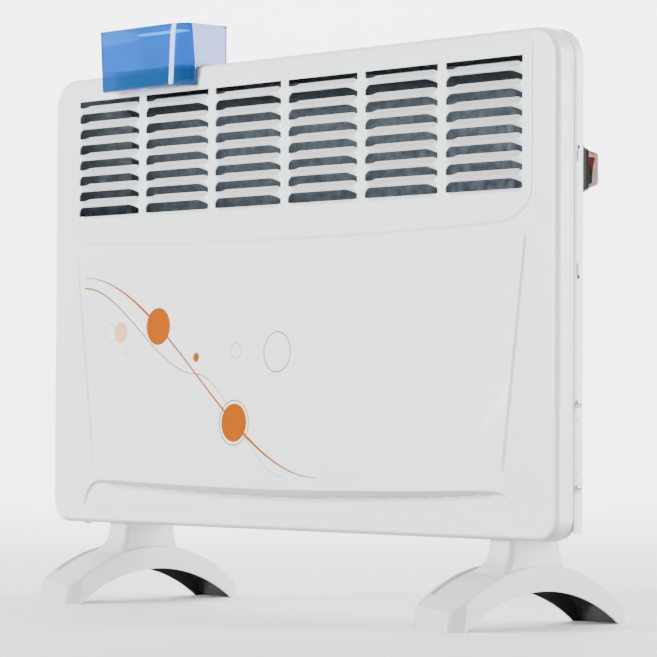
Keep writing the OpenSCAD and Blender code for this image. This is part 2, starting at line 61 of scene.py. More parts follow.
LIP_END = 26.5                     # how far the cover's inner lip reaches back
cover_lo, cover_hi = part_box("front_cover")
_, rear_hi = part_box("rear_casing")
ORIGIN = Vector((0.0, cover_hi[1] - LIP_END * MM, cover_lo[2]))
HALF_W = cover_hi[0] / MM
HEIGHT = (cover_hi[2] - cover_lo[2]) / MM
DEPTH = (rear_hi[1] - ORIGIN.y) / MM
FLOOR = -ORIGIN.z / MM


def world(points):
    """Casing millimetres to the frame's metres."""
    return np.asarray(points, float) * MM + np.array(ORIGIN)


def node_box(name):
    """A CAD node's low and high corners in casing millimetres."""
    lo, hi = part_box(name)
    return (np.array(lo) - np.array(ORIGIN)) / MM, (np.array(hi) - np.array(ORIGIN)) / MM


# ---- Materials

def nodes_of(name, colour, rough, metallic=0.0, coat=0.0, transmission=0.0, ior=1.5, specular=0.5):
    """A material, its node tree and its Principled shader with the plain values set."""
    mat = bpy.data.materials.new(name)
    mat.use_nodes = True
    tree = mat.node_tree
    shader = tree.nodes["Principled BSDF"]
    shader.inputs["Metallic"].default_value = metallic
    shader.inputs["Coat Weight"].default_value = coat
    shader.inputs["Transmission Weight"].default_value = transmission
    shader.inputs["IOR"].default_value = ior
    shader.inputs["Specular IOR Level"].default_value = specular
    shader.inputs["Base Color"].default_value = (*colour, 1.0)
    shader.inputs["Roughness"].default_value = rough
    return mat, tree, shader


def coordinates(tree, stretch=(1, 1, 1)):
    coord = tree.nodes.new("ShaderNodeTexCoord")
    mapping = tree.nodes.new("ShaderNodeMapping")
    mapping.inputs["Scale"].default_value = stretch
    tree.links.new(coord.outputs["Object"], mapping.inputs["Vector"])
    return mapping.outputs["Vector"]


def noise(tree, vector, scale, detail=3.0):
    node = tree.nodes.new("ShaderNodeTexNoise")
    node.inputs["Scale"].default_value = scale
    node.inputs["Detail"].default_value = detail
    tree.links.new(vector, node.inputs["Vector"])
    return node.outputs["Fac"]


def spread(tree, value, low, high, start=0.3, end=0.7):
    """Maps a value between start and end to low and high."""
    node = tree.nodes.new("ShaderNodeMapRange")
    node.inputs["From Min"].default_value = start
    node.inputs["From Max"].default_value = end
    node.inputs["To Min"].default_value = low
    node.inputs["To Max"].default_value = high
    tree.links.new(value, node.inputs["Value"])
    return node.outputs["Result"]


def blended(tree, shader, factor, second):
    """Base colour becomes a blend with a second colour. Returns the blend's first input."""
    mix = tree.nodes.new("ShaderNodeMix")
    mix.data_type = "RGBA"
    mix.inputs["B"].default_value = (*second, 1.0)
    tree.links.new(factor, mix.inputs["Factor"])
    tree.links.new(mix.outputs["Result"], shader.inputs["Base Color"])
    return mix.inputs["A"]


def tinted(tree, shader, value, dark, light):
    """Base colour drifts between two near tones."""
    first = blended(tree, shader, spread(tree, value, 0.0, 1.0), light)
    first.default_value = (*dark, 1.0)


def bumped(tree, shader, height, strength, distance):
    bump = tree.nodes.new("ShaderNodeBump")
    bump.inputs["Strength"].default_value = strength
    bump.inputs["Distance"].default_value = distance
    tree.links.new(height, bump.inputs["Height"])
    tree.links.new(bump.outputs["Normal"], shader.inputs["Normal"])


def scaled(colour, k):
    return tuple(min(1.0, c * k) for c in colour)


def grained(name, colour, rough, grain=900.0, strength=0.15, drift=0.03, wobble=0.05,
            stretch=(1, 1, 1), **more):
    """A moulded, coated or brushed surface: fine bump, slow colour drift, uneven gloss."""
    mat, tree, shader = nodes_of(name, colour, rough, **more)
    vector = coordinates(tree, stretch)
    tinted(tree, shader, noise(tree, vector, 14.0, 4.0),
           scaled(colour, 1 - drift), scaled(colour, 1 + drift))
    tree.links.new(spread(tree, noise(tree, vector, 60.0, 4.0), rough - wobble, rough + wobble),
                   shader.inputs["Roughness"])
    bumped(tree, shader, noise(tree, vector, grain, 2.0), strength, 0.0002)
    return mat


def paint_shade_below(mat, dark, most):
    """Painted shade: darkens the paint where the surface turns towards the floor."""
    tree = mat.node_tree
    shader = tree.nodes["Principled BSDF"]
    paint = shader.inputs["Base Color"].links[0].from_socket
    split = tree.nodes.new("ShaderNodeSeparateXYZ")
    tree.links.new(tree.nodes.new("ShaderNodeNewGeometry").outputs["Normal"], split.inputs["Vector"])
    # painted shade: the darker tone grows as the normal turns downwards
    turned = spread(tree, split.outputs["Z"], 0.0, most, -0.08, -0.60)
    tree.links.new(paint, blended(tree, shader, turned, dark))
    return mat


def spangled(name, colour, rough):
    """Hot-dip galvanised sheet: crystal patches of slightly different tone."""
    mat, tree, shader = nodes_of(name, colour, rough, metallic=0.75)
    vector = coordinates(tree)
    cells = tree.nodes.new("ShaderNodeTexVoronoi")
    cells.inputs["Scale"].default_value = 130.0
    tree.links.new(vector, cells.inputs["Vector"])
    tinted(tree, shader, cells.outputs["Color"], scaled(colour, 0.86), scaled(colour, 1.1))
    tree.links.new(spread(tree, cells.outputs["Distance"], rough - 0.08, rough + 0.12),
                   shader.inputs["Roughness"])
    bumped(tree, shader, noise(tree, vector, 700.0), 0.1, 0.0002)
    return mat


def banded(name, colour, rough, ridges, **more):
    """Stacked laminations or wound wire: fine ridges along x."""
    mat, tree, shader = nodes_of(name, colour, rough, **more)
    vector = coordinates(tree)
    wave = tree.nodes.new("ShaderNodeTexWave")
    wave.bands_direction = "X"
    wave.inputs["Scale"].default_value = ridges
    wave.inputs["Distortion"].default_value = 0.4
    tree.links.new(vector, wave.inputs["Vector"])
    tinted(tree, shader, wave.outputs["Fac"], scaled(colour, 0.75), scaled(colour, 1.12))
    bumped(tree, shader, wave.outputs["Fac"], 0.5, 0.0003)
    return mat


def casing_paint(name):
    """White powder coat."""
    return grained(name, (0.86, 0.875, 0.885), 0.32, grain=1100, strength=0.045, drift=0.012,
                   wobble=0.04, coat=0.25)


def printed(name, colour, rough, drift, specular):
    """Ink on the front."""
    return grained(name, colour, rough, grain=1500, strength=0.05, drift=drift, specular=specular)


mats = {
    "casing_white": casing_paint("casing_white"),
    "foot_plastic": grained("foot_plastic", (0.70, 0.71, 0.715), 0.42, grain=2600, strength=0.10,
                            drift=0.015),
    "galvanised": spangled("galvanised", (0.072, 0.088, 0.104), 0.5),
    "element_aluminium": grained("element_aluminium", (0.62, 0.63, 0.65), 0.38, grain=500,
                                 strength=0.2, metallic=0.9, stretch=(0.05, 1, 1)),
    "element_sheath": grained("element_sheath", (0.20, 0.17, 0.15), 0.5, grain=800, metallic=0.8,
                              drift=0.25),
    "ceramic_ivory": grained("ceramic_ivory", (0.84, 0.80, 0.68), 0.22, grain=500, strength=0.05,
                             drift=0.04, coat=0.3),
    "brass": grained("brass", (0.75, 0.56, 0.22), 0.3, grain=700, metallic=1.0, drift=0.08),
    "bright_steel": grained("bright_steel", (0.66, 0.67, 0.69), 0.27, grain=900, strength=0.08,
                            metallic=1.0, drift=0.05),
    "black_plastic": grained("black_plastic", (0.016, 0.015, 0.015), 0.5, grain=2400, strength=0.12,
                             drift=0.2, specular=0.12),
    "clear_boot": grained("clear_boot", (0.40, 0.33, 0.31), 0.2, grain=350, strength=0.12,
                          drift=0.05, wobble=0.04, transmission=0.97, ior=1.3),
    "red_plastic": grained("red_plastic", (0.88, 0.02, 0.01), 0.22, grain=1500, strength=0.05,
                           drift=0.05, coat=0.3),
    "impeller_grey": grained("impeller_grey", (0.10, 0.11, 0.12), 0.5, grain=900, drift=0.1),
    "motor_steel": banded("motor_steel", (0.30, 0.31, 0.33), 0.45, 320, metallic=0.8),
    "copper_enamel": banded("copper_enamel", (0.56, 0.22, 0.06), 0.3, 260, coat=0.5),
    "sintered_bronze": grained("sintered_bronze", (0.42, 0.28, 0.12), 0.45, grain=1500,
                               strength=0.3, metallic=0.9, drift=0.1),
    "water_box_blue": grained("water_box_blue", (0.012, 0.225, 0.61), 0.07, grain=180, strength=0.03,
                              drift=0.04, wobble=0.02, transmission=0.80, ior=1.49),
}
for wire, dye in (("wire_brown", (0.14, 0.055, 0.02)), ("wire_blue", (0.02, 0.07, 0.32)),
                  ("wire_green", (0.22, 0.42, 0.03))):
    mats[wire] = grained(wire, dye, 0.5, grain=1200, drift=0.08)
# the cover's paint, with painted shade where its pressed steps face the floor
cover_white_painted_shade = paint_shade_below(casing_paint("cover_white_painted_shade"), (0.30, 0.31, 0.32), 0.8)
inner_sheet = spangled("inner_sheet", (0.26, 0.30, 0.34), 0.5)
print_orange = printed("print_orange", (0.36, 0.075, 0.0003), 0.8, 0.03, 0.02)
print_gold = printed("print_gold", (0.30, 0.105, 0.010), 0.8, 0.05, 0.02)
print_peach = printed("print_peach", (0.80, 0.46, 0.24), 0.6, 0.04, 0.15)
print_pale = printed("print_pale", (0.50, 0.37, 0.27), 0.5, 0.04, 0.15)
foot_inside = grained("foot_inside", (0.030, 0.031, 0.033), 0.45, grain=1400, strength=0.12, drift=0.1)
# painted shade for the side latch holes, which are not cut
painted_hole_shade = grained("painted_hole_shade", (0.02, 0.02, 0.022), 0.7, grain=900, drift=0.1)


# ---- Mesh helpers

def piece(name, points, faces, slot, sharp, material=None, body="root", more=()):
    """A mesh in casing millimetres that rides on a CAD body. slot names its record material, and
    material is the look where that differs."""
    mesh = bpy.data.meshes.new(name)
    mesh.from_pydata(world(points).tolist(), [], [tuple(int(i) for i in f) for f in faces])
    for mat in (material or mats[slot], *more):
        mesh.materials.append(mat)
    mesh.update()
    obj = bpy.data.objects.new(name, mesh)
    bpy.context.scene.collection.objects.link(obj)
    smooth(obj, sharp)
    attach(obj, body)
    return obj


def smooth(obj, sharp):
    """Smooth shading, with edges sharper than the angle in degrees kept."""
    mesh = obj.data
    mesh.polygons.foreach_set("use_smooth", [True] * len(mesh.polygons))
    mesh.set_sharp_from_angle(angle=math.radians(sharp))
    mesh.update()


def tidy_mesh(obj, merge=0.00001, sharp=38.0):
    """Merges doubles and turns the faces outwards."""
    bm = bmesh.new()
    bm.from_mesh(obj.data)
    bmesh.ops.remove_doubles(bm, verts=bm.verts, dist=merge)
    bmesh.ops.dissolve_degenerate(bm, edges=bm.edges, dist=merge / 10)
    bmesh.ops.recalc_face_normals(bm, faces=bm.faces)
    bm.to_mesh(obj.data)
    bm.free()
    smooth(obj, sharp)


def apply_all(obj, sharp):
    """Turns the modifiers into plain mesh."""
    graph = bpy.context.evaluated_depsgraph_get()
    made = bpy.data.meshes.new_from_object(obj.evaluated_get(graph), depsgraph=graph)
    old = obj.data
    obj.modifiers.clear()
    obj.data = made
    bpy.data.meshes.remove(old)
    made.name = obj.name
    smooth(obj, sharp)


def thicken(obj, mm, sharp, inner=0, even=True):
    """Gives a sheet its thickness, inwards. inner is the material slot of its inside."""
    mod = obj.modifiers.new("sheet", "SOLIDIFY")
    mod.thickness = mm * MM
    mod.offset = -1.0
    mod.use_even_offset = even
    mod.material_offset = inner
    apply_all(obj, sharp)


def bands(rings, closed=True, flip=False):
    """Quads between equal rings of indices."""
    faces = []
    for a, b in zip(rings, rings[1:]):
        n = len(a)
        for i in range(n if closed else n - 1):
            j = (i + 1) % n
            quad = (a[i], a[j], b[j], b[i])
            faces.append(quad[::-1] if flip else quad)
    return faces


def rows_of(rows):
    """One list of points from equal rows of them, and the indices of each row."""
    n = len(rows[0])
    return [p for row in rows for p in row], [list(range(k * n, k * n + n)) for k in range(len(rows))]


def merge_parts(parts):
    """One list of points and one of faces from several (points, faces) pairs."""
    points, faces = [], []
    for p, f in parts:
        faces += [tuple(i + len(points) for i in face) for face in f]
        points += list(p)
    return points, faces


def punch(obj, centres, radius, at_y):
    """Cuts round holes along y through the sheet at at_y."""
    turns = [2 * math.pi * k / 40 for k in range(40)]
    parts = []
    for cx, cz in centres:
        points, rings = rows_of([[(cx + radius * math.cos(a), y, cz + radius * math.sin(a)) for a in turns]
                                 for y in (at_y - 3.0, at_y + 3.0)])
        parts.append((points, bands(rings) + [tuple(rings[0]), tuple(reversed(rings[1]))]))
    points, faces = merge_parts(parts)
    mesh = bpy.data.meshes.new("punch")
    mesh.from_pydata(world(points).tolist(), [], faces)
    tool = bpy.data.objects.new("punch", mesh)
    bpy.context.scene.collection.objects.link(tool)
    tidy_mesh(tool)
    cut = obj.modifiers.new("holes", "BOOLEAN")
    cut.operation = "DIFFERENCE"
    cut.object = tool
    cut.solver = "EXACT"
    apply_all(obj, 50)
    bpy.data.objects.remove(tool)


def ramp(x, low, high):
    """Smooth step from 0 at low to 1 at high."""
    t = np.clip((np.asarray(x, float) - low) / (high - low), 0.0, 1.0)
    return t * t * (3 - 2 * t)


def lines(*spans):
    """Grid lines: (start, end, step) spans joined and sorted."""
    values = []
    for start, end, step in spans:
        n = max(1, int(round((end - start) / step)))
        values.extend(start + (end - start) * k / n for k in range(n + 1))
    values = np.unique(np.round(values, 4))
    keep = [values[0]]
    for v in values[1:]:
        if v - keep[-1] > 0.05:
            keep.append(v)
    return np.array(keep)


# ---- A pressed sheet: a flat grid with a rounded outline, then rings down its sides

class Outline:
    """A rounded rectangle in x and z: half width, low, high, upper and lower radius."""

    def __init__(self, w, z0, z1, rt, rb):
        self.w, self.z0, self.z1, self.rt, self.rb = w, z0, z1, rt, rb

    def radius(self, k):
        return self.rb if k in (0, 3) else self.rt

    def centre(self, k):
        sx = 1 if k in (0, 1) else -1
        r = self.radius(k)
        return sx * (self.w - r), (self.z0 + r) if k in (0, 3) else (self.z1 - r)

    def corners(self):
        """Number, radius and centre of each round corner, and the signs of its way out."""
        for k, (sx, sz) in enumerate(((1, -1), (1, 1), (-1, 1), (-1, -1))):
            if self.radius(k) > 0:
                yield k, self.radius(k), *self.centre(k), sx, sz

    def place(self, key):
        """Where this outline has the border vertex that key names."""
        kind, k, t = key
        if kind == "corner":
            cx, cz = self.centre(k)
            return cx + self.radius(k) * math.cos(t), cz + self.radius(k) * math.sin(t)
        w, rt, rb = self.w, self.rt, self.rb
        ends = [((rb - w, self.z0), (w - rb, self.z0)), ((w, self.z0 + rb), (w, self.z1 - rt)),
                ((w - rt, self.z1), (rt - w, self.z1)), ((-w, self.z1 - rt), (-w, self.z0 + rb))]
        (ax, az), (bx, bz) = ends[k]
        return ax + (bx - ax) * t, az + (bz - az) * t

    def warp(self, x, z):
        """Bends the square corners of a grid round into arcs."""
        x, z = x.copy(), z.copy()
        for _, r, cx, cz, sx, sz in self.corners():
            u, v = (x - cx) * sx / r, (z - cz) * sz / r
            inside = (u > 1e-6) & (v > 1e-6)
            nu = u * np.sqrt(np.clip(1 - v * v / 2, 0, 1))
            nv = v * np.sqrt(np.clip(1 - u * u / 2, 0, 1))
            x = np.where(inside, cx + sx * nu * r, x)
            z = np.where(inside, cz + sz * nv * r, z)
        return x, z

    def key(self, side, x, z):
        """Names a border vertex of the face, so that any other outline can place it."""
        for k, _, cx, cz, sx, sz in self.corners():
            if (x - cx) * sx > 1e-6 and (z - cz) * sz > 1e-6:
                return "corner", k, math.atan2(z - cz, x - cx)
        w, rt, rb = self.w, self.rt, self.rb
        spans = [(x, rb - w, w - rb), (z, self.z0 + rb, self.z1 - rt), (x, w - rt, rt - w),
                 (z, self.z1 - rt, self.z0 + rb)]
        v, a, b = spans[side]
        return "side", side, (v - a) / (b - a)


def pressed_sheet(xs, zs, face, depth_of, hole, rings, closed, back):
    """Points and faces of a sheet. depth_of shapes the face, hole tells which cells are open,
    and rings are (Outline, y) pairs that lead away from the border. closed tells whether the lower
    side has a flange too. A sheet that faces back (+Y) is wound the other way."""
    nx, nz = len(xs), len(zs)
    gx, gz = np.meshgrid(xs, zs, indexing="ij")
    px, pz = face.warp(gx, gz)
    points = np.stack(depth_of(px, pz), -1).reshape(-1, 3)
    index = np.arange(nx * nz).reshape(nx, nz)
    cx = (gx[:-1, :-1] + gx[1:, 1:]) / 2
    cz = (gz[:-1, :-1] + gz[1:, 1:]) / 2
    solid = ~hole(cx, cz)
    a, b = index[:-1, :-1][solid], index[1:, :-1][solid]
    c, d = index[1:, 1:][solid], index[:-1, 1:][solid]
    quads = np.stack([a, b, c, d], -1)
    if back:
        quads = quads[:, ::-1]
    faces = [tuple(q) for q in quads]

    border = [(i, 0, 0) for i in range(nx)] if closed else [(nx - 1, 0, 1)]
    border += [(nx - 1, j, 1) for j in range(1, nz)]
    border += [(i, nz - 1, 2) for i in range(nx - 2, -1, -1)]
    border += [(0, j, 3) for j in range(nz - 2, 0 if closed else -1, -1)]
    keys = [face.key(side, px[i, j], pz[i, j]) for i, j, side in border]
    loops = [[index[i, j] for i, j, _ in border]]
    points = list(points)
    for outline, y in rings:
        loop = []
        for key in keys:
            x, z = outline.place(key)
            loop.append(len(points))
            points.append((x, y, z))
        loops.append(loop)
    faces += bands(loops, closed, flip=not back)
    used = sorted({i for f in faces for i in f})
    remap = {old: new for new, old in enumerate(used)}
    return [points[i] for i in used], [tuple(remap[i] for i in f) for f in faces]


# ---- Front cover
SHEET = 0.8
EDGE_R = 4.2
TOP_R, LOW_R = 25.0, 19.0
SEAM_Y = 18.0
COLS, ROWS = 6, 8
SLOT_W, BAR_W = 84.0, 8.8
SLOT_H, PITCH = 5.5, 13.7
LOUVRE_Z = 268.2
SLAT_H = PITCH - SLOT_H
SLAT_OUT, SLAT_IN = 4.3, 4.6       # how far a slat's lower edge stands out, its upper turns in


def column_x(c):
    """Left edge of a column of slots."""
    return (c - COLS / 2) * (SLOT_W + BAR_W) + BAR_W / 2


def skirt_line(x):
    """Middle of the pressed step above the skirt."""
    return 30.4 + 5.6 * np.minimum(np.abs(x) / 245.0, 1.0) ** 1.7


def skirt_half(x):
    """Half the height of that step."""
    return 3.7 - 1.9 * np.minimum(np.abs(x) / 245.0, 1.0) ** 2


def groove_x(z):
    """How far out the slanted grooves run."""
    return 253.1 + 0.132 * (z - 53.0)


def front_relief(x, z):
    """How far the front face stands proud, in millimetres."""
    ax = np.abs(x)
    # central field: a pillow, fullest just above the skirt
    across = np.clip(1 - (ax / np.maximum(groove_x(z), 1.0)) ** 2.6, 0.0, 1.0)
    up = np.clip(1 - (z - 36.0) / 206.0, 0.0, 1.0) ** 1.25
    above_skirt = ramp(z, skirt_line(x) - skirt_half(x), skirt_line(x) + skirt_half(x))
    pillow = 6.6 * across * up * above_skirt
    # the skirt sits a little back inside its curved ends
    side = 245.0 + 24.0 * np.sqrt(np.clip(1 - (z / 36.0) ** 2, 0.0, 1.0))
    inside = ramp(side - ax, -1.6, 1.6) * (1 - above_skirt)
    skirt = -2.2 * inside * ramp(z, 9.0, 19.0)
    # a crease along the foot of the step
    crease = (z - skirt_line(x) + skirt_half(x) - 0.4) / 2.1
    skirt = skirt - 3.6 * ramp(side - ax, 0.0, 30.0) * np.exp(-crease ** 2)
    # raised field round the louvres, with a soft lower edge
    low = np.where(ax < 244, 239.0 + 4.0 * (ax / 244.0) ** 2,
                   270.0 - 27.0 * np.sqrt(np.clip(1 - ((ax - 244.0) / 40.0) ** 2, 0.0, 1.0)))
    field = ramp(z - low, -1.8, 1.8) * ramp(284.0 - ax, -1.8, 1.8) * ramp(383.0 - z, 0.0, 3.0)
    # two slanted grooves
    off = np.abs(ax - groove_x(z))
    ends = ramp(z, 50.0, 56.0) * ramp(233.0 - z, 0.0, 5.0)
    groove = -1.9 * np.clip(1 - (off / 1.5) ** 2, 0.0, 1.0) * ends
    return pillow + skirt + 0.8 * field + groove


def slat_shape(x, z):
    """Louvre slats: the lower edge is pushed out and the upper edge turned in, more so away
    from the ends. Returns how far out and how far up each point moves."""
    out = np.zeros_like(x)
    lift = np.zeros_like(x)
    for c in range(COLS):
        s = np.minimum(x - column_x(c), column_x(c) + SLOT_W - x)
        for k in range(-1, ROWS - 1):
            t = (z - (LOUVRE_Z + SLOT_H + PITCH * k)) / SLAT_H
            if k == -1:
                # the plain face below the lowest slot only turns in along its top edge
                on = (s > -0.01) & (t > 0.55) & (t <= 1.001)
                out = np.where(on, -2.2 * ramp(s, 0.0, 7.0) * ramp(t, 0.62, 1.05), out)
                continue
            on = (s > -0.01) & (t > -0.001) & (t < 1.001)
            lip = ramp(s, 0.0, 11.0) ** 0.55
            out = np.where(on, SLAT_OUT * lip * np.clip(1 - t, 0, 1) ** 1.35
                           - SLAT_IN * ramp(s, 0.0, 7.0) * ramp(t, 0.42, 1.15), out)
            lift = np.where(on, (4.2 * lip - 1.3) * np.clip(1 - t, 0, 1) ** 2
                           + 1.7 * ramp(s, 3.0, 10.0) * np.clip(t, 0, 1) ** 2, lift)
    return out, lift


def front_face(x, z):
    out, lift = slat_shape(x, z)
    return x, -(front_relief(x, z) + out), z + lift


def front_holes(cx, cz):
    hole = np.zeros(cx.shape, bool)
    for c in range(COLS):
        for k in range(ROWS):
            low = LOUVRE_Z + PITCH * k
            hole |= (cx > column_x(c)) & (cx < column_x(c) + SLOT_W) & (cz > low) & (cz < low + SLOT_H)
    return hole


def front_lines():
    """Grid lines of the front: fine where it bends, coarse where it is flat."""
    w = HALF_W - EDGE_R
    rt, rb = TOP_R - EDGE_R, LOW_R - EDGE_R
    spans = [(-w, -w + rb, 2.4), (-w + rb, -w + rt, 1.5), (w - rt, w - rb, 1.5), (w - rb, w, 2.4),
             (-287.0, -250.0, 0.75), (250.0, 287.0, 0.75), (-250.0, 250.0, 3.2)]
    for c in range(COLS):
        x0 = column_x(c)
        spans += [(x0, x0 + 12.0, 1.5), (x0 + SLOT_W - 12.0, x0 + SLOT_W, 1.5),
                  (x0 + 12.0, x0 + SLOT_W - 12.0, 4.0)]
    xs = lines(*spans)
    exact = [column_x(c) + d for c in range(COLS) for d in (0.0, SLOT_W)]
    exact += [-w + rb, -w + rt, w - rt, w - rb]
    xs = snap(xs, exact)
    z0, z1 = EDGE_R, HEIGHT - EDGE_R
    spans = [(z0, z0 + rb, 1.8), (z0 + rb, 44.0, 0.8), (44.0, 236.0, 3.2), (236.0, 262.0, 0.9),
             (z1 - rt, z1, 2.2)]
    for k in range(ROWS):
        low = LOUVRE_Z + PITCH * k
        spans += [(low - SLAT_H, low, 1.03), (low, low + SLOT_H, SLOT_H)]
    zs = lines(*spans)
    exact = [LOUVRE_Z + PITCH * k + d for k in range(ROWS) for d in (0.0, SLOT_H)] + [z0 + rb, z1 - rt]
    return xs, snap(zs, exact)


def snap(values, exact):
    """Moves or adds grid lines so that each exact place has a line."""
    values = list(values)
    for e in exact:
        near = min(range(len(values)), key=lambda i: abs(values[i] - e))
        if abs(values[near] - e) < 0.4:
            values[near] = e
        else:
            values.append(e)
    return np.unique(np.round(values, 4))


def front_outline(inset):
    return Outline(HALF_W - inset, inset, HEIGHT - inset, TOP_R - inset, LOW_R - inset)


def front_rings():
    """The rounded front edge, the side flange, and the inner lip behind the seam."""
    turns = [math.radians(15 * k) for k in range(1, 7)]
    steps = [(EDGE_R * (1 - math.sin(a)), EDGE_R * (1 - math.cos(a))) for a in turns]
    steps += [(0, 9.0), (0, SEAM_Y - 0.8), (0.12, SEAM_Y - 0.3), (0.45, SEAM_Y), (1.0, SEAM_Y),
              (1.05, SEAM_Y + 0.6), (1.05, SEAM_Y + 4.5)]
    return [(front_outline(inset), y) for inset, y in steps]


def build_front_cover():
    xs, zs = front_lines()
    points, faces = pressed_sheet(xs, zs, front_outline(EDGE_R), front_face, front_holes, front_rings(),
                                  closed=True, back=False)
    obj = piece("front_cover_sheet", points, faces, "casing_white", 50, cover_white_painted_shade)
    thicken(obj, SHEET, 50)
    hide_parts("front_cover")


# ---- Rear casing
WALL_END = 27.5
REAR_DROP = 4.5                    # the sheet's lower edge hangs below the CAD tray's
VENT_PITCH, VENT_W, VENT_H = 10.0, 4.0, 26.0
VENT_ROWS = (24.0, 318.0)
VENT_SIDE = 16                     # vents on each side of the middle one
HOOK_X, HOOK_Z, HOOK_R = 190.0, 338.0, 4.0


def rear_outline(inset):
    low = node_box("rear_casing")[0][2] - REAR_DROP
    return Outline(HALF_W - inset, low, HEIGHT - inset, TOP_R - min(inset, 10.0), 0.0)


def bend(p0, p1, p2, n=5):
    """Points along a rounded bend, as a quadratic curve through its ends."""
    return [tuple((1 - t) ** 2 * a + 2 * t * (1 - t) * b + t * t * c for a, b, c in zip(p0, p1, p2))
            for t in (k / n for k in range(n + 1))]


def rear_face(x, z):
    """Flat back with rounded vent ends."""
    z = z.copy()
    for low in VENT_ROWS:
        for i in range(-VENT_SIDE, VENT_SIDE + 1):
            d = np.abs(x - i * VENT_PITCH)
            pull = np.where(d < 2.05, 1.1 * (d / 2.0) ** 2, 0.0)
            z = np.where(np.abs(z - low) < 0.05, z + pull, z)
            z = np.where(np.abs(z - low - VENT_H) < 0.05, z - pull, z)
    return x, np.full_like(x, DEPTH), z


def rear_holes(cx, cz):
    hole = np.zeros(cx.shape, bool)
    for low in VENT_ROWS:
        for i in range(-VENT_SIDE, VENT_SIDE + 1):
            hole |= (np.abs(cx - i * VENT_PITCH) < VENT_W / 2) & (cz > low) & (cz < low + VENT_H)
    return hole


def build_rear_casing():
    taper = DEPTH - WALL_END
    face_inset = taper + 1.6
    face = rear_outline(face_inset)
    vents = [i * VENT_PITCH + d for i in range(-VENT_SIDE, VENT_SIDE + 1) for d in (-2, -1, 0, 1, 2)]
    xs = snap(lines((-face.w, -170.0, 6.0), (170.0, face.w, 6.0), (-170.0, 170.0, 5.0)),
              vents + [face.rt - face.w, face.w - face.rt])
    xs = snap(xs, [s * (face.w - face.rt * k / 5) for s in (-1, 1) for k in range(6)])
    rows = [low + d for low in VENT_ROWS for d in (0, 1.2, VENT_H - 1.2, VENT_H)]
    zs = snap(lines((face.z0, face.z1 - face.rt, 6.0)), rows)
    zs = snap(zs, [face.z1 - face.rt * k / 5 for k in range(6)])
    half = taper * 0.5
    steps = bend((face_inset, DEPTH), (taper, DEPTH), (taper - 1.2, DEPTH - 1.2))[1:]
    steps += bend((half, WALL_END + half), (8.0, WALL_END + 8.0), (1.3, WALL_END + 1.3), 2)
    steps += bend((1.2, WALL_END + 1.2), (0.0, WALL_END), (0.0, WALL_END - 1.6))
    steps += [(0.0, 24.0), (0.0, SEAM_Y + 1.0), (0.25, SEAM_Y + 0.6)]
    rings = [(rear_outline(inset), y) for inset, y in steps]
    points, faces = pressed_sheet(xs, zs, face, rear_face, rear_holes, rings, closed=False, back=True)
    obj = piece("rear_casing_sheet", points, faces, "casing_white", 50, more=(inner_sheet,))
    thicken(obj, SHEET, 50, inner=1)
    punch(obj, [(s * HOOK_X, HOOK_Z) for s in (-1, 1)], HOOK_R, DEPTH)
    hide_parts("rear_casing")


# ---- Feet: one arched shell moulding with a flared neck, used twice
FOOT_X = 235.0                     # each foot's middle
FOOT_W, FOOT_EDGE = 26.0, 2.6      # half width, rounding of the back's edges
ARCH_R, OUT_Y, OUT_TOP = 140.0, 36.0, -19.7
IN_Y, IN_TOP = 38.0, -39.7
TOE_FRONT, TOE_REAR = -59.0, 131.0
TOE_SLANT, TOE_H = 3.0, 14.0
NECK_X, NECK_HALF, NECK_Y = 9.0, 13.0, (6.0, 60.0)
NECK_SUNK = 0.25                   # how far the neck reaches into what it meets


def arch_z(y, centre, top):
    return top - ARCH_R + np.sqrt(np.maximum(ARCH_R ** 2 - (y - centre) ** 2, 1.0))


def toe_line(x):
    """How far forward the toe reaches: skewed face, then a facet at the outer corner."""
    return np.where(x < 18.0, TOE_FRONT + 7.0 * (18.0 - x) / 44.0, TOE_FRONT + 10.5 * (x - 18.0) / 8.0)


def foot_groove(x, y):
    """Shallow channel along the inner side of the arch's back."""
    side = ramp(2.9 - np.abs(x + 18.0), -0.6, 0.6)
    return -2.0 * side * ramp(y, -38.5, -36.0) * ramp(70.0 - y, 0.0, 6.0)


